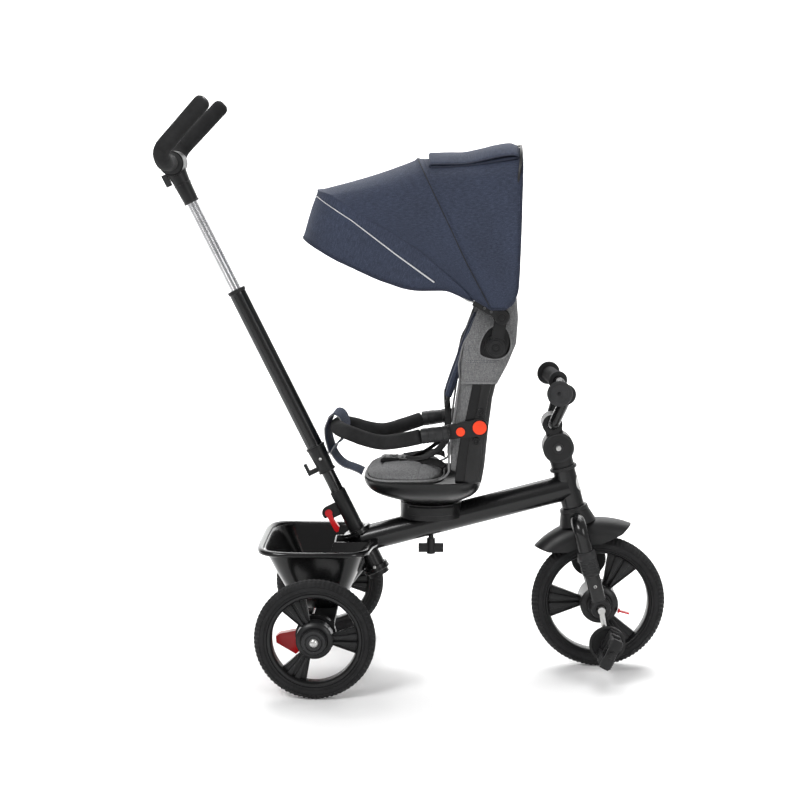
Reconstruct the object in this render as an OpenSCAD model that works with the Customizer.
// Children's tricycle with a parent push bar, a swivelling harness seat turned
// towards the parent, a folding canopy, a steered front wheel and a rear basket.
// Millimetres. +X is forward, +Y is the rider's left, +Z is up, and the ground is Z = 0.

/* [Wheels] */
// Radius of the front wheel over its tyre
front_r = 127.5; // [126:0.5:129]
// Radius of each rear wheel over its tyre
rear_r = 110; // [108:0.5:111]
// Distance from the middle of one rear tyre to the middle of the other
track = 450; // [440:1:470]
// Width of the front tyre
front_tyre_w = 40; // [36:1:42]
// Width of each rear tyre
rear_tyre_w = 36; // [32:1:38]
// Forward position of the front axle
front_axle_x = 350; // [348:1:352]
// Forward position of the rear axle
rear_axle_x = -178; // [-180:1:-176]

/* [Frame] */
// Backward lean of the steering axis from vertical, in degrees
rake = 15; // [14.5:0.1:15.5]
// Upward slope of the main tube towards the front, in degrees
tube_slope = 14.8; // [14.6:0.1:15]
// Outside diameter of the main tube
tube_d = 50; // [48:1:51]
// Outside diameter of the head tube
head_d = 43; // [42:0.5:44]
// Outside diameter of the push bar socket
socket_d = 40; // [39:0.5:41]

/* [Push bar] */
// Backward lean of the push bar from vertical, in degrees
bar_lean = 26.3; // [26:0.1:26.6]
// Outside diameter of the lower push bar tube
lower_bar_d = 25; // [24:0.5:26]
// Outside diameter of the fluted middle push bar tube
outer_bar_d = 32; // [31:0.5:33]
// Outside diameter of the sliding chrome push bar tube
upper_bar_d = 20; // [19:0.5:22]
// Diameter of the foam on the push handle
handle_foam_d = 31; // [29:0.5:32]

/* [Seat] */
// Forward position of the seat's swivel axis
swivel_x = 30; // [29:0.5:31]
// Half of the width over the backrest shell
back_half_w = 100; // [98:1:101]
// Half of the width of the seat bowl at its rim
bowl_half_w = 120; // [116:1:124]
// Diameter of the foam on the safety bar
bar_foam_d = 28; // [26:0.5:28]

/* [Canopy] */
// Half of the width over the canopy's rear panel
canopy_half_w = 142; // [141:0.5:143]
// Height of the rear bow above the bow pivot
rear_bow_len = 309; // [306:1:310]
// Reach of the middle bow from the bow pivot
mid_bow_len = 316; // [315:1:318]
// Reach of the front bow from the bow pivot
front_bow_len = 412; // [408:1:414]

/* [Hidden] */
$fn = 64;
fit = 0.05;

// Steering geometry, measured along the steering axis from the front axle
fork_half_w = 58;
leg_r = 13;
leg_bend = 24;
crown_s = 168;
cup_low_s = 183;
head_low_s = 190;
head_top_s = 264;
stem_disc_s = 309;
clamp_s = 356;
steerer_r = 12.5;
steer_arm = 9.5;
stub_r = 5.5;
pin_r = 2;
mid_head_s = 228;

// Crank and pedals
crank_len = 62.5;
crank_lean = 10;
axle_r = 7;
pedal_y = 130;
pedal_w = 76;
pedal_pin_r = 4;

// Push bar geometry, measured along the bar axis from the bottom of its socket
bar_base = [-72.3, 0, 185];
collar_s = 81;
tie_s = 66.8;
spindle_top = 173;
hook_low = 217;
hook_top = 268;
outer_top = 599;
bracket_low = 781;

// Handle, seat and canopy reference points
hub_point = [-452, 0, 958];
grip_tip = [-373, 137, 1072];
fold_point = [119, 0, 478];
release_point = [84, 0, 470];
tilt_point = [147, 0, 627];
bow_point = [157, 0, 683];
rear_bow_a = -6.5;
mid_bow_a = 25.4;
front_bow_a = 59;
seat_floor = 374;

// ---------------------------------------------------------------- helpers

module both_sides() {
    children();
    mirror([0, 1, 0]) children();
}

module rod(a, b, r) {
    v = b - a;
    translate(a) rotate([0, acos(v.z / norm(v)), atan2(v.y, v.x)]) cylinder(h = norm(v), r = r);
}

function unit(v) = v / norm(v);

function tangent(pts, i) =
    let (n = len(pts) - 1)
        i == 0 ? unit(pts[1] - pts[0])
            : i == n ? unit(pts[n] - pts[n - 1])
            : unit(unit(pts[i] - pts[i - 1]) + unit(pts[i + 1] - pts[i]));

function carry(u, t) = unit(u - t * (u * t));

function side_dirs(pts, u, i = 0) =
    i == len(pts) ? [] : let (v = carry(u, tangent(pts, i))) [v, each side_dirs(pts, v, i + 1)];

function tube_ring(p, t, u, r, sides) =
    let (w = cross(t, u)) [for (a = [0 : 360 / sides : 359]) p + r * (u * cos(a) + w * sin(a))];

// A round tube swept along points, which keeps a twist-free frame as it turns
module bent_tube(pts, r, sides = 16) {
    dirs = side_dirs(pts, [1, 0.01, 0]);
    skin([for (i = [0 : len(pts) - 1]) tube_ring(pts[i], tangent(pts, i), dirs[i], r, sides)]);
}

// Corners of a route, each cut back and rounded with a quadratic curve
function round_corner(a, b, c, cut, steps) =
    let (p = b + unit(a - b) * cut, q = b + unit(c - b) * cut)
        [for (k = [0 : steps]) let (t = k / steps)
            p * (1 - t) * (1 - t) + b * 2 * t * (1 - t) + q * t * t];

function rounded(pts, cut, steps) = [
    pts[0],
    each [for (i = [1 : len(pts) - 2]) each round_corner(pts[i - 1], pts[i], pts[i + 1], cut, steps)],
    pts[len(pts) - 1]
];

function mirrored(p) = [p[0], -p[1], p[2]];

// A half route that starts on the middle plane, made whole
function whole(half) = [
    each [for (i = [len(half) - 1 : -1 : 1]) mirrored(half[i])],
    each half
];

module across(y, h, r) {
    translate([0, y, 0]) rotate([-90, 0, 0]) cylinder(h = h, r = r);
}

module steer(s = 0) {
    translate([front_axle_x, 0, front_r]) rotate([0, -rake, 0]) translate([0, 0, s]) children();
}

module bar(s = 0) {
    translate(bar_base) rotate([0, -bar_lean, 0]) translate([0, 0, s]) children();
}

module ring(r_out, r_in, h) {
    difference() {
        cylinder(h = h, r = r_out);
        translate([0, 0, -1]) cylinder(h = h + 2, r = r_in);
    }
}

module side_plate(pts, y0, y1) {
    translate([0, y1, 0]) rotate([90, 0, 0]) linear_extrude(y1 - y0) polygon(pts);
}

module round_slab(x0, x1, half_w, z, h, r) {
    for (x = [x0 + r, x1 - r], y = [-half_w + r, half_w - r])
        translate([x, y, z]) cylinder(h = h, r = r, $fn = 32);
}

function lerp(a, b, t) = a + (b - a) * t;

function loop_faces(n, m) = [
    for (i = [0 : n - 2], j = [0 : m - 1], k = [0, 1])
        let (p = i * m + j, q = i * m + (j + 1) % m, r = p + m, s = q + m)
            k == 0 ? [p, s, q] : [p, r, s]
];

// A solid loft through rings of points that all have the same number of points
module skin(rings) {
    n = len(rings);
    m = len(rings[0]);
    polyhedron(
        points = [for (loop = rings) each loop],
        faces = concat(
            loop_faces(n, m),
            [[for (j = [0 : m - 1]) j]],
            [[for (j = [m - 1 : -1 : 0]) (n - 1) * m + j]]
        ),
        convexity = 8
    );
}

// The same for a thin sheet, whose ring runs out along one face and back along the other
module sheet_skin(rings) {
    n = len(rings);
    m = len(rings[0]);
    last = (n - 1) * m;
    polyhedron(
        points = [for (loop = rings) each loop],
        faces = concat(
            loop_faces(n, m),
            [for (j = [0 : m / 2 - 2]) each [[j, j + 1, m - 2 - j], [j, m - 2 - j, m - 1 - j]]],
            [for (j = [0 : m / 2 - 2]) each
                [[last + j, last + m - 2 - j, last + j + 1], [last + j, last + m - 1 - j, last + m - 2 - j]]]
        ),
        convexity = 8
    );
}

function strap_dir(pts, i) =
    let (a = pts[max(i - 1, 0)], b = pts[min(i + 1, len(pts) - 1)], v = b - a)
        [v.x, 0, v.z] / norm([v.x, 0, v.z]);

function strap_ring(p, d, w, t) = [
    p + [d.z * t / 2, -w / 2, -d.x * t / 2],
    p + [d.z * t / 2, w / 2, -d.x * t / 2],
    p + [-d.z * t / 2, w / 2, d.x * t / 2],
    p + [-d.z * t / 2, -w / 2, d.x * t / 2]
];

module strap(pts, w, t) {
    skin([for (i = [0 : len(pts) - 1]) strap_ring(pts[i], strap_dir(pts, i), w, t)]);
}

// ---------------------------------------------------------------- frame

tube_mid = [swivel_x, 0, 279.7];
tube_dir = [cos(tube_slope), 0, sin(tube_slope)];
tube_rear = tube_mid - tube_dir * 136.5;
tube_front = tube_mid + tube_dir * 270.5;
tube_wall = 2.5;
tube_bore_r = tube_d / 2 - tube_wall;
saddle_r = 59;
saddle_top = 321;
spindle_r = 12;
knob_r = 5;

module socket_axis(r, s0, s1) {
    bar(s0) cylinder(h = s1 - s0, r = r);
}

module main_frame() {
    color("black")
    difference() {
        union() {
            rod(tube_rear, tube_front, tube_d / 2);
            steer(head_low_s) cylinder(h = head_top_s - head_low_s, r = head_d / 2);
        }
        rod(tube_rear - tube_dir * 10, tube_front - tube_dir * 2, tube_bore_r);
        steer(head_low_s - 1) cylinder(h = head_top_s - head_low_s + 2, r = 18);
        socket_axis(socket_d / 2, -20, 200);
        socket_axis(24.5, -1, 12);
        socket_axis(27, collar_s, collar_s + 9);
        translate([swivel_x, 0, 200]) cylinder(h = 120, r = knob_r + 0.5);
    }
}

module bar_socket() {
    color("black")
    difference() {
        union() {
            socket_axis(socket_d / 2, 0, collar_s + 9);
            socket_axis(24.5, 0, 12);
            socket_axis(27, collar_s, collar_s + 9);
        }
        socket_axis(17.5, -1, collar_s + 10);
        rod(tube_rear, tube_rear + tube_dir * 40, 15.5);
    }
}

module socket_bushes() {
    color("dimgray") {
        difference() {
            union() {
                socket_axis(17.5, 0, 12);
                socket_axis(20, -9, 0);
            }
            socket_axis(stub_r + fit, 2, 13);
        }
        difference() {
            socket_axis(17.5, collar_s - 1, collar_s + 9);
            socket_axis(15 + fit, collar_s - 2, collar_s + 10);
        }
    }
}

axle_z = rear_r;
beam_half = 183;
beam_r = 16;
rear_axle_r = 6;

module rear_frame() {
    color("black")
    difference() {
        union() {
            rod([rear_axle_x, 0, axle_z], [-92, 0, 222], 17);
            translate([rear_axle_x, 0, axle_z]) across(-beam_half, 2 * beam_half, beam_r);
        }
        socket_axis(socket_d / 2, -20, 200);
        translate([rear_axle_x, 0, axle_z]) {
            across(-beam_half - 1, 2 * beam_half + 2, rear_axle_r);
            both_sides() across(24, beam_half - 34, beam_r - 2.5);
        }
    }
}

drum_in = 184;
drum_w = 15;
basket_floor = 136;

module axle_bracket() {
    color("dimgray")
    difference() {
        union() {
            both_sides() translate([rear_axle_x, 0, axle_z]) across(drum_in, drum_w, 37);
            both_sides() translate([rear_axle_x - 6, drum_in, axle_z]) cube([40, drum_w, 25]);
            translate([rear_axle_x - 6, -drum_in - drum_w, basket_floor - 7])
                cube([40, 2 * (drum_in + drum_w), 7]);
        }
        translate([rear_axle_x, 0, axle_z]) across(-220, 440, rear_axle_r);
        rod([rear_axle_x, 0, axle_z], [-92, 0, 222], 17);
    }
}

module rear_axle() {
    color("silver")
    translate([rear_axle_x, 0, axle_z]) {
        across(-track / 2 - 24, track + 48, rear_axle_r);
        both_sides() intersection() {
            across(track / 2 + 23, 9, 9.3);
            translate([0, track / 2 + 18, 0]) sphere(r = 13.5);
        }
    }
}

basket_top = 244;
rim_h = 12;
notch_half = 31;
wall = 2.5;

module basket_taper(inset, floor_z, top_z) {
    hull() {
        round_slab(-222 + inset, -134 - inset, 112 - inset, floor_z, 0.5, 20);
        round_slab(-282 + inset, -88 - inset, 140 - inset, top_z, 0.5, 34);
    }
}

module basket_notch(grow) {
    side_plate(
        [[-190 - grow, 120], [-146 - grow, 262], [-20, 262], [-20, 120]],
        -notch_half - grow, notch_half + grow
    );
}

module basket_rim_slab(inset) {
    hull() round_slab(-295 + inset, -84 - inset, 150 - inset, 0, rim_h, 42 - inset);
    hull() round_slab(-130, -68 - inset, 62 - inset, 0, rim_h, 16 - inset);
}

module basket() {
    color("#151515")
    difference() {
        union() {
            difference() {
                basket_taper(0, basket_floor, basket_top);
                difference() {
                    basket_taper(wall, basket_floor + wall, basket_top + 1);
                    basket_notch(wall);
                }
            }
            translate([0, 0, basket_top - rim_h / 2 + 4]) difference() {
                basket_rim_slab(0);
                translate([0, 0, -1]) scale([1, 1, 1.3]) hull()
                    round_slab(-281, -90, 138, 0, rim_h, 32);
            }
        }
        basket_notch(0);
    }
}

module seat_saddle() {
    color("#1c1c1c")
    difference() {
        translate([swivel_x, 0, 292]) cylinder(h = saddle_top - 292, r = saddle_r);
        rod(tube_rear, tube_front, tube_d / 2);
        translate([swivel_x, 0, 280]) cylinder(h = 24, r = knob_r + fit);
        translate([swivel_x, 0, saddle_top - 12]) cylinder(h = 20, r = spindle_r + fit);
    }
}

module headset_cups() {
    color("#202020") {
        steer(cup_low_s) ring(27, steerer_r + fit, head_low_s - cup_low_s);
        steer(head_top_s) ring(26, steerer_r + fit, 6);
    }
}

// ---------------------------------------------------------------- steering

module tie_pin(s) {
    translate([0, -steer_arm, s]) cylinder(h = 15, r = pin_r);
    translate([0, -steer_arm, s + 11]) cylinder(h = 5, r = 3);
    translate([-3, -steer_arm, s + 11]) cube([6, steer_arm, 5]);
}

module fork() {
    color("black")
    difference() {
        steer() {
            translate([0, 0, crown_s - 10]) cylinder(h = mid_head_s - 16 - crown_s + 10, r = steerer_r);
            translate([0, 0, mid_head_s - 17]) cylinder(h = 34, r = stub_r);
            translate([0, 0, mid_head_s + 16]) cylinder(h = 44, r = steerer_r);
            translate([0, 0, mid_head_s - 6]) tie_pin(0);
            translate([0, 0, crown_s]) across(-fork_half_w + leg_bend, 2 * (fork_half_w - leg_bend), leg_r);
            both_sides() {
                translate([0, fork_half_w - leg_bend, crown_s - leg_bend]) rotate([90, 0, 90])
                    rotate_extrude(angle = 90) translate([leg_bend, 0]) circle(r = leg_r);
                translate([0, fork_half_w, 16]) cylinder(h = crown_s - leg_bend - 16, r = leg_r);
            }
        }
        steer() across(-80, 160, 18.6);
        both_sides() steer() translate([0, fork_half_w, 28]) cylinder(h = 106, r = leg_r - 2.5);
    }
}

fender_r = 163;
fender_half_w = 32;
fender_t = 2.6;

module fender_half_profile(r) {
    intersection() {
        translate([fender_r - fender_half_w, 0]) circle(r = r);
        translate([fender_r - fender_half_w, -r - 1]) square([r + 1, 2 * r + 2]);
    }
    translate([116, -r]) square([fender_r - fender_half_w - 116, 2 * r]);
}

module fender_shell() {
    translate([front_axle_x, 0, front_r]) rotate([90, 0, 0]) rotate([0, 0, 60])
        rotate_extrude(angle = 90, $fn = 96) difference() {
            fender_half_profile(fender_half_w);
            translate([-1, 0]) fender_half_profile(fender_half_w - fender_t);
            translate([110, -20]) square([10, 40]);
        }
}

module fender() {
    color("#151515")
    difference() {
        union() {
            intersection() {
                fender_shell();
                side_plate(
                    [[222, 236], [253, 227], [298, 227], [335, 236], [363, 248], [392, 262], [412, 280],
                        [412, 310], [222, 310]],
                    -50, 50
                );
            }
            steer(157) cylinder(h = cup_low_s - 157, r1 = 36, r2 = 27);
        }
        steer() {
            translate([0, 0, 130]) cylinder(h = 70, r = steerer_r);
            translate([0, 0, crown_s]) across(-70, 140, leg_r);
        }
    }
}

module fork_fittings() {
    color("#242424")
    both_sides() steer() {
        translate([0, fork_half_w, 68]) ring(16, leg_r, 42);
        difference() {
            across(fork_half_w - 11, 22, 18.6);
            across(fork_half_w - 12, 24, axle_r + fit);
        }
    }
}

module stem() {
    color("#1a1a1a")
    difference() {
        steer() {
            translate([0, 0, head_top_s + 6.5]) cylinder(h = 22, r = 22);
            translate([0, 0, stem_disc_s]) across(-23, 46, 29.5);
            translate([-16, -17, stem_disc_s]) cube([32, 34, clamp_s - stem_disc_s]);
            translate([0, 0, clamp_s]) across(-26, 52, 19);
        }
        steer() {
            translate([0, 0, head_top_s]) cylinder(h = mid_head_s + 60 - head_top_s, r = steerer_r);
            translate([0, 0, clamp_s]) across(-30, 60, bar_tube_r);
        }
    }
}

bar_tube_r = 10.5;
clamp_point = [front_axle_x - sin(rake) * clamp_s, 0, front_r + cos(rake) * clamp_s];
grip_in = [281, 88, 536];
grip_out = [262, 158, 547];

module handlebar() {
    color("black")
    bent_tube(
        whole(rounded([clamp_point, clamp_point + [0, 38, 0], grip_in, grip_out], 14, 5)),
        bar_tube_r
    );
}

module grips() {
    color("#2b2b2b")
    both_sides() {
        difference() {
            union() {
                rod(lerp(grip_in, grip_out, 0.22), lerp(grip_in, grip_out, 1.05), 14.5);
                rod(lerp(grip_in, grip_out, 0.22), lerp(grip_in, grip_out, 0.29), 19);
                rod(lerp(grip_in, grip_out, 1), lerp(grip_in, grip_out, 1.1), 23);
            }
            rod(lerp(grip_in, grip_out, -0.2), grip_out, bar_tube_r);
        }
    }
}

module stem_screws() {
    color("silver")
    both_sides() steer() {
        translate([0, 0, stem_disc_s]) across(23, 2, 5);
        for (x = [-12, 13]) translate([x, 0, clamp_s - 27]) across(23, 2, 3.2);
    }
}

// ---------------------------------------------------------------- wheels

module rim_profile(open_r, seat_r, flange_r, half_w) {
    translate([open_r, -half_w]) square([seat_r - open_r, 2 * half_w]);
    translate([open_r, half_w - 3]) square([flange_r - open_r, 3]);
    translate([open_r, -half_w]) square([flange_r - open_r, 3]);
}

module spoke(hub_r, open_r, root_half, tip_half) {
    translate([0, 0, -4.5]) linear_extrude(9) difference() {
        polygon([[hub_r - 6, -root_half], [open_r + 2, -tip_half], [open_r + 2, tip_half],
            [hub_r - 6, root_half]]);
        translate([hub_r + 4, -2]) square([open_r, 4]);
    }
    for (side = [-1, 1]) translate([0, 0, -10]) linear_extrude(20)
        polygon([[hub_r - 6, side * 2], [open_r + 1, side * 2.5], [open_r + 1, side * tip_half / 2],
            [hub_r - 6, side * 7]]);
}

module wheel_rim(open_r, flange_r, hub_r, hub_half, rim_half, bore_r, tip_half, turn) {
    rotate([90, 0, 0]) difference() {
        union() {
            rotate_extrude($fn = 128) rim_profile(open_r, flange_r - 4, flange_r, rim_half);
            translate([0, 0, -hub_half]) cylinder(h = 2 * hub_half, r = hub_r);
            intersection() {
                for (i = [0 : 2]) rotate([0, 0, turn + 120 * i]) spoke(hub_r, open_r, 8.5, tip_half);
                translate([0, 0, -12]) cylinder(h = 24, r = open_r + 2, $fn = 128);
            }
        }
        translate([0, 0, -hub_half - 30]) cylinder(h = 2 * hub_half + 60, r = bore_r);
    }
}

module tyre(r, w, flange_r, rim_half) {
    rotate([90, 0, 0]) rotate_extrude($fn = 128) {
        translate([flange_r - 4, 3 - rim_half]) square([4.2, 2 * rim_half - 6]);
        intersection() {
            translate([r - w / 2, 0]) circle(r = w / 2);
            translate([flange_r + 0.2, -w]) square([r, 2 * w]);
        }
        translate([flange_r + 0.2, -w / 2]) square([r - w / 2 - flange_r - 0.2, w]);
    }
}

front_flange_r = 103;
rear_flange_r = 88;

module front_rim() {
    color("#202020")
    translate([front_axle_x, 0, front_r])
        wheel_rim(94.6, front_flange_r, 36, 42, 17, axle_r + fit, 31, 60);
}

module front_tyre() {
    color("#2a2a2a")
    translate([front_axle_x, 0, front_r]) tyre(front_r, front_tyre_w, front_flange_r, 17);
}

module rear_rim() {
    difference() {
        union() {
            wheel_rim(78, rear_flange_r, 32, 22, 15, rear_axle_r + fit, 24, 0);
            difference() {
                across(-30, 60, 20);
                across(-21.9, 43.8, 40);
            }
        }
        across(-40, 80, rear_axle_r + fit);
        across(-32, 9.1, 24);
        across(22.9, 20, 9.8);
    }
}

module left_rim() {
    color("#202020")
    translate([rear_axle_x, track / 2, axle_z]) rear_rim();
}

module right_rim() {
    color("#202020")
    translate([rear_axle_x, -track / 2, axle_z]) mirror([0, 1, 0]) rear_rim();
}

module left_tyre() {
    color("#2a2a2a")
    translate([rear_axle_x, track / 2, axle_z]) tyre(rear_r, rear_tyre_w, rear_flange_r, 15);
}

module right_tyre() {
    color("#2a2a2a")
    translate([rear_axle_x, -track / 2, axle_z]) tyre(rear_r, rear_tyre_w, rear_flange_r, 15);
}

module clutch_tab() {
    color("orangered")
    translate([front_axle_x, 0, front_r]) rotate([0, 15, 0]) {
        translate([36.5, -41, -2.5]) cube([22, 9, 3]);
        translate([36.5, -41, -5]) cube([3, 9, 8]);
    }
}

// ---------------------------------------------------------------- crank and pedals

crank_tip = [crank_len * sin(crank_lean), 0, -crank_len * cos(crank_lean)];
arm_y = 77;

module crank() {
    color("silver")
    translate([front_axle_x, 0, front_r]) {
        across(-arm_y - 7, 2 * arm_y + 14, axle_r);
        for (side = [-1, 1]) {
            rod([0, side * arm_y, 0], crank_tip * -side + [0, side * arm_y, 0], 5);
            translate(crank_tip * -side) rotate([side * -90, 0, 0]) translate([0, 0, arm_y - 2])
                cylinder(h = 95, r = pedal_pin_r);
        }
    }
}

module pedal() {
    rotate([0, 27, 0]) difference() {
        union() {
            for (x = [-10, 5]) translate([x, -pedal_w / 2, -30]) cube([5, pedal_w, 60]);
            for (y = [-pedal_w / 2, -6, pedal_w / 2 - 12])
                translate([-10, y, -30]) cube([20, 12, 60]);
            across(-pedal_w / 2 - 5, 5, 34);
        }
        across(-pedal_w / 2 - 6, pedal_w + 12, pedal_pin_r + fit);
    }
}

module left_pedal() {
    color("#202020")
    translate([front_axle_x, pedal_y, front_r] - crank_tip) pedal();
}

module right_pedal() {
    color("#202020")
    translate([front_axle_x, -pedal_y, front_r] + crank_tip) mirror([0, 1, 0]) pedal();
}

// ---------------------------------------------------------------- brakes and tie rod

module brake_lever() {
    color("red")
    difference() {
        union() {
            across(168, 14, beam_r + 2.6);
            side_plate([[-12, -20], [-38, -40], [-44, -36], [-73, -19], [-74, -7], [-67, -2], [-18, 8]],
                166, 183);
        }
        across(160, 30, beam_r + fit);
    }
}

module left_brake_lever() {
    translate([rear_axle_x, 0, axle_z]) brake_lever();
}

module right_brake_lever() {
    translate([rear_axle_x, 0, axle_z]) mirror([0, 1, 0]) brake_lever();
}

module tie_end() {
    difference() {
        translate([-4.8, -13.3, -1.8]) cube([9.6, 7.6, 3.6]);
        translate([-3.2, -11.9, -5]) cube([6.4, 20, 10]);
    }
}

module tie_rod() {
    color("gray")
    translate(tube_mid) rotate([0, -tube_slope, 0]) {
        translate([-136.3, 0, 0]) tie_end();
        translate([270.4, 0, 0]) tie_end();
        rod([-132, -12.6, 0], [266.2, -12.6, 0], 1.4);
    }
}

// ---------------------------------------------------------------- push bar

module steer_spindle() {
    color("black")
    bar() difference() {
        union() {
            translate([0, 0, collar_s + 1]) cylinder(h = spindle_top - collar_s - 1, r = 15);
            translate([0, 0, 3]) cylinder(h = collar_s, r = stub_r);
            translate([0, 0, tie_s - 6]) tie_pin(0);
            translate([-34, -4, 128]) cube([24, 8, 26]);
            translate([-34, 0, 141]) across(-4, 8, 13);
        }
        translate([0, 0, 96]) cylinder(h = 80, r = lower_bar_d / 2);
        translate([-34, 0, 141]) across(-10, 20, 3 + fit);
        translate([-50, -4.8, 112]) cube([11, 9.6, 22]);
    }
}

module latch_lever() {
    color("red")
    bar() {
        translate([-34, 0, 141]) across(-7, 14, 3);
        both_sides() translate([-34, 0, 141]) across(4.3, 2.7, 7);
        both_sides() side_plate([[-40, 138], [-39, 105], [-33, 104], [-29, 138]], 4.3, 7);
        side_plate([[-39, 122], [-38, 102], [-33, 101], [-28, 108], [-30, 122]], -7, 7);
    }
}

module lower_bar() {
    color("black")
    bar(96) difference() {
        cylinder(h = hook_low + 20 - 96, r = lower_bar_d / 2);
        translate([0, 0, 3]) cylinder(h = hook_low + 14 - 96, r = lower_bar_d / 2 - 2);
    }
}

module bag_hook() {
    color("#181818")
    bar() difference() {
        union() {
            translate([0, 0, hook_low]) cylinder(h = hook_top - hook_low, r1 = 15.5, r2 = 18);
            translate([-32, -6, hook_low + 4]) cube([24, 12, 9]);
            translate([-36, -6, hook_low + 4]) cube([6, 12, 24]);
        }
        translate([0, 0, hook_low - 1]) cylinder(h = 21, r = lower_bar_d / 2);
        translate([0, 0, hook_low + 24]) cylinder(h = 40, r = outer_bar_d / 2);
    }
}

module outer_bar() {
    color("black")
    bar(hook_low + 24) difference() {
        cylinder(h = outer_top - hook_low - 24, r = outer_bar_d / 2);
        translate([0, 0, 6]) cylinder(h = 400, r = upper_bar_d / 2 + fit);
        for (i = [0 : 7]) rotate([0, 0, 22.5 + 45 * i])
            translate([outer_bar_d / 2 + 1.1, 0, 30]) cylinder(h = 318, r = 2.2, $fn = 24);
    }
}

module upper_bar() {
    color("silver")
    bar(outer_top - 170) difference() {
        cylinder(h = bracket_low + 30 - outer_top + 170, r = upper_bar_d / 2);
        translate([0, 0, 3]) cylinder(h = bracket_low + 24 - outer_top + 170, r = upper_bar_d / 2 - 1.5);
    }
}

hub_r = 19;

module handle_bracket() {
    color("#1a1a1a")
    difference() {
        union() {
            bar(bracket_low) cylinder(h = 42, r1 = 14, r2 = 16);
            bar(bracket_low + 42) cylinder(h = 42, r1 = 16, r2 = 21);
            translate(hub_point) across(-27, 54, hub_r + 4);
        }
        bar(bracket_low - 1) cylinder(h = 31, r = upper_bar_d / 2);
        translate(hub_point) across(-40, 80, 11);
        bar(bracket_low + 20) translate([-40, -6.5, 24]) cube([28, 13, 26]);
    }
}

handle_route = [hub_point, hub_point + [-4, 92, 2], [-458, 118, 980], grip_tip];
yoke_r = 11;

module handle_yoke() {
    color("black")
    bent_tube(whole(rounded(handle_route, 16, 5)), yoke_r);
}

module handle_foam() {
    route = rounded([hub_point + [-1, 28.6, 0.6], handle_route[1], handle_route[2], grip_tip], 16, 5);
    color("#2c2c2c")
    both_sides() difference() {
        bent_tube(route, handle_foam_d / 2);
        bent_tube(
            rounded([hub_point, handle_route[1], handle_route[2], lerp(handle_route[2], grip_tip, 1.2)], 16, 5),
            yoke_r
        );
    }
}

module handle_trigger() {
    color("#303030")
    bar(bracket_low + 20) translate([-29, -6, 25]) cube([11, 12, 24]);
}

// ---------------------------------------------------------------- seat

module bowl_hull(inset, lift) {
    hull() {
        translate([swivel_x, 0, 323.5 + lift]) cylinder(h = 1, r = 55 - inset, $fn = 48);
        translate([0, 0, 348 + lift]) round_slab(-88 + inset, 114 - inset, bowl_half_w - 12 - inset, 0, 1, 55);
        translate([0, 0, seat_floor - 1]) round_slab(-97 + inset, 125 - inset, bowl_half_w - inset, 0, 1 + lift, 60);
    }
}

module seat_shell() {
    color("#1b1b1b") {
        difference() {
            bowl_hull(0, 0);
            bowl_hull(3.5, 4);
        }
        translate([swivel_x, 0, saddle_top + 0.4]) cylinder(h = 3, r = 50);
        translate([swivel_x, 0, saddle_top - 11]) cylinder(h = 14, r = spindle_r);
    }
}

// Height and depth of the backrest's front and rear edges, from the bottom up
back_front = [[74, 374], [80, 458], [91, 532], [97, 568], [102, 629], [118, 671], [134, 716], [146, 744]];
back_rear = [[182, 744], [187, 677], [184, 631], [168, 592], [150, 558], [143, 530], [136, 475], [129, 401],
    [124, 374]];

function shift_x(pts, d) = [for (p = pts) p + [d, 0]];

module back_shell() {
    color("#1b1b1b")
    difference() {
        side_plate(concat(back_front, back_rear), -back_half_w, back_half_w);
        side_plate(
            concat(shift_x(back_front, -60), [[120, 760], [175, 760]], shift_x(back_rear, -5), [[119, 360]]),
            5 - back_half_w, back_half_w - 5
        );
    }
}

module seat_pad() {
    color("gray")
    hull() {
        round_slab(-97, 56, bowl_half_w - 6, seat_floor + 0.4, 12, 45);
        round_slab(-84, 52, bowl_half_w - 26, seat_floor + 14, 8, 40);
    }
}

module back_pad() {
    color("gray")
    difference() {
        side_plate(
            concat(
                [[60, 398]], shift_x([for (i = [1 : 6]) back_front[i]], -14), [[126, 738]],
                [[174, 738]], shift_x([for (i = [1 : 7]) back_rear[i]], -6), [[121, 398]]
            ),
            5.5 - back_half_w, back_half_w - 5.5
        );
        side_plate(
            concat(
                [[20, 390], [100, 390]],
                shift_x([for (i = [7 : -1 : 1]) back_rear[i]], -28), [[152, 760], [20, 760]]
            ),
            24 - back_half_w, back_half_w - 24
        );
    }
}

module harness() {
    color("#2c3750")
    both_sides() {
        strap([[112, 45, 672], [84, 45, 610], [62, 45, 560], [50, 45, 537]], 36, 9);
        strap([[51, 45, 530], [40, 44, 500], [16, 36, 452], [-2, 24, 420], [-14, 14, 404]], 20, 2);
    }
    color("#151515") hull() round_slab(-66, -14.6, 22, 397.5, 9, 8);
}

module seat_knob() {
    color("#1b1b1b")
    translate([swivel_x, 0, 0]) {
        translate([0, 0, 240]) cylinder(h = 63, r = knob_r);
        translate([0, 0, 218]) cylinder(h = 30, r = 8);
        for (a = [0, 180]) rotate([0, 0, a]) translate([0, -4.5, 221]) cube([24, 9, 17]);
    }
}

module swivel_lever() {
    color("#262626")
    translate([swivel_x, 0, 302]) intersection() {
        ring(64, saddle_r + 0.4, 16);
        translate([-42, -80, 0]) cube([84, 60, 16]);
    }
}

// ---------------------------------------------------------------- safety bar

arm_in = back_half_w + 1.5;
arm_t = 8;
sleeve_y = 113;
foam_route = [
    [-147, 0, 465], [-146, 20, 465], [-142, 38, 464], [-134, 50, 462.5], [-118, 60, 458], [-90, 68, 449],
    [-58, 79, 445], [-20, 100, 453], [12, sleeve_y, 462]
];

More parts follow.
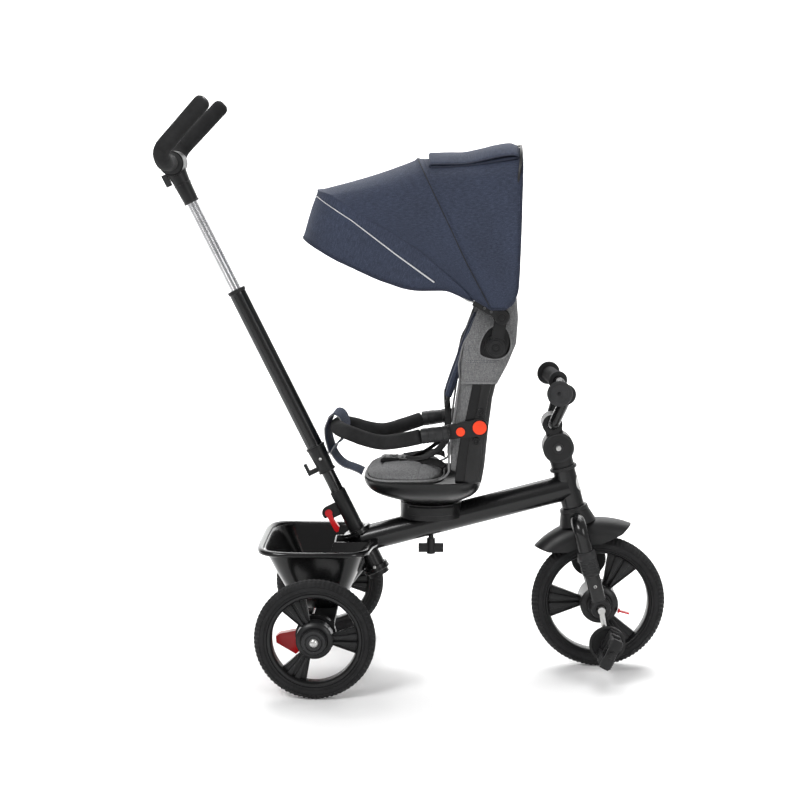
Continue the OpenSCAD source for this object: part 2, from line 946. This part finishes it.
module bar_arms() {
    color("#1e1e1e")
    both_sides() difference() {
        union() {
            translate(fold_point) across(arm_in, arm_t, 16);
            side_plate(
                [[fold_point.x, fold_point.z + 16], [60, 482], [56, 478], [56, 458], [60, 455],
                    [fold_point.x, fold_point.z - 16]],
                arm_in, arm_in + arm_t
            );
            rod([64, sleeve_y, 469], [36, sleeve_y, 465.5], 12.5);
            rod([36, sleeve_y, 465.5], foam_route[8], 13.4);
        }
        translate(fold_point) across(arm_in + 2, 20, 12.7 + fit);
        translate(fold_point) across(arm_in - 1, 20, 5 + fit);
        translate(release_point) across(arm_in + 2, 20, 8 + fit);
    }
}

module bar_foam() {
    color("#2c2c2c") bent_tube(whole(foam_route), bar_foam_d / 2, 20);
}

module bar_strap() {
    color("#2c3750") {
        translate([-147, -24, 465]) rotate([-90, 0, 0]) ring(18.5, 16, 48);
        strap([[-163.5, 0, 449], [-158, 0, 428], [-140, 0, 406], [-118, 0, 394], [-101, 0, 389]], 40, 2.5);
    }
}

module button(at, r) {
    translate(at) across(arm_in + 5.3, arm_t - 2, r);
}

module left_fold_button() {
    color("orangered") button(fold_point, 12.7);
}

module right_fold_button() {
    color("orangered") mirror([0, 1, 0]) button(fold_point, 12.7);
}

module left_release_button() {
    color("orangered") button(release_point, 8);
}

module right_release_button() {
    color("orangered") mirror([0, 1, 0]) button(release_point, 8);
}

// ---------------------------------------------------------------- canopy

panel_t = 2;
bow_r = 2.5;
link_in = back_half_w + 19;
bow_bend = 110;

function bow_dir(a) = [-sin(a), 0, cos(a)];

function arch(reach, half_w, foot) = concat(
    [[foot, -half_w]],
    [for (t = [0 : 9 : 180])
        [reach - bow_bend + bow_bend * pow(sin(t), 0.4), -half_w * sign(cos(t)) * pow(abs(cos(t)), 0.4)]],
    [[foot, half_w]]
);

function on_bow(a, p) = bow_point + bow_dir(a) * p[0] + [0, p[1], 0];

function shell_ring(a, reach, half_w, foot) = [
    each [for (p = arch(reach, half_w, foot)) on_bow(a, p)],
    each [for (p = [for (q = arch(reach - panel_t, half_w - panel_t, foot)) q]) on_bow(a, [p[0], -p[1]])]
];

module bow_wire(a, reach, half_w, root_y) {
    pts = [for (p = arch(reach, half_w, 62)) on_bow(a, p)];
    bent_tube(concat([on_bow(a, [9.5, -root_y])], pts, [on_bow(a, [9.5, root_y])]), bow_r, 8);
}

module canopy_brackets() {
    color("#161616")
    both_sides() translate(tilt_point) {
        across(back_half_w + 0.2, 17.8, 20);
        across(back_half_w + 10, 15, 6);
    }
}

module canopy_frame() {
    color("#161616") {
        both_sides() difference() {
            union() {
                translate(tilt_point) across(link_in, 6, 17);
                translate(bow_point) across(link_in, 6, 15);
                side_plate([[136, 630], [158, 626], [168, 680], [146, 686]], link_in, link_in + 6);
                translate(bow_point) across(link_in + 6, 18, 5);
            }
            translate(tilt_point) across(back_half_w + 9, 16.5, 6 + fit);
        }
        both_sides() translate(bow_point) difference() {
            across(link_in + 6, 5.4, 12);
            across(link_in + 5, 8, 4.9);
        }
        bow_wire(rear_bow_a, rear_bow_len, canopy_half_w - 3, link_in + 9);
    }
}

module rear_panel() {
    color("#2c3750")
    sheet_skin([for (t = [0 : 0.25 : 1])
        shell_ring(lerp(-4, 23.5, t), lerp(rear_bow_len, 312, t), canopy_half_w, lerp(75, 80, t))]);
}

module rear_roll() {
    color("#2c3750")
    skin([for (t = [0 : 0.2 : 1]) let (a = lerp(-6, 24, t))
        [for (p = [[312.6, -112], [312.6, 112], [316, 118], [321, 110], [321, -110], [316, -118]])
            on_bow(a, p)]]);
}

// Corner positions of the front panel lie on the straight line between the two bows
function slant_reach(a) =
    let (p = bow_dir(mid_bow_a) * (mid_bow_len + 1), q = bow_dir(front_bow_a) * front_bow_len, d = q - p,
        n = bow_dir(a))
        (p.x * d.z - p.z * d.x) / (n.x * d.z - n.z * d.x);

module mid_panel() {
    color("#2c3750") {
        sheet_skin([for (t = [0 : 0.125 : 1]) let (a = lerp(mid_bow_a + 2.8, front_bow_a - 2.6, t))
            shell_ring(a, slant_reach(a), canopy_half_w + 9, lerp(75, 85, t))]);
        bow_wire(mid_bow_a, mid_bow_len, canopy_half_w + 4, link_in + 14.8);
        both_sides() translate(bow_point) difference() {
            across(link_in + 12.2, 5.2, 12);
            across(link_in + 11, 8, 5 + fit);
        }
    }
}

module front_bow() {
    color("silver") {
        bow_wire(front_bow_a, front_bow_len, canopy_half_w + 14, link_in + 22.2);
        both_sides() translate(bow_point) difference() {
            across(link_in + 18, 5.4, 12);
            across(link_in + 17, 8, 5 + fit);
        }
    }
}

module visor() {
    color("#2c3750") {
        both_sides() side_plate([[-197, 888], [-200, 826], [-26, 735], [28, 722], [72, 722], [50, 737]],
            canopy_half_w + 9.4, canopy_half_w + 11);
        translate([-202.4, -canopy_half_w + 10, 886]) cube([2.6, 2 * canopy_half_w - 20, 12]);
    }
}

// ---------------------------------------------------------------- assembly

main_frame();
bar_socket();
socket_bushes();
rear_frame();
axle_bracket();
rear_axle();
basket();
seat_saddle();
headset_cups();
fork();
fender();
fork_fittings();
stem();
handlebar();
grips();
stem_screws();
front_rim();
front_tyre();
clutch_tab();
crank();
left_pedal();
right_pedal();
left_rim();
left_tyre();
right_rim();
right_tyre();
left_brake_lever();
right_brake_lever();
tie_rod();
steer_spindle();
lower_bar();
bag_hook();
outer_bar();
latch_lever();
upper_bar();
handle_bracket();
handle_yoke();
handle_foam();
handle_trigger();
seat_shell();
back_shell();
seat_pad();
back_pad();
harness();
seat_knob();
swivel_lever();
bar_arms();
bar_foam();
bar_strap();
left_fold_button();
right_fold_button();
left_release_button();
right_release_button();
canopy_brackets();
canopy_frame();
rear_panel();
rear_roll();
mid_panel();
front_bow();
visor();
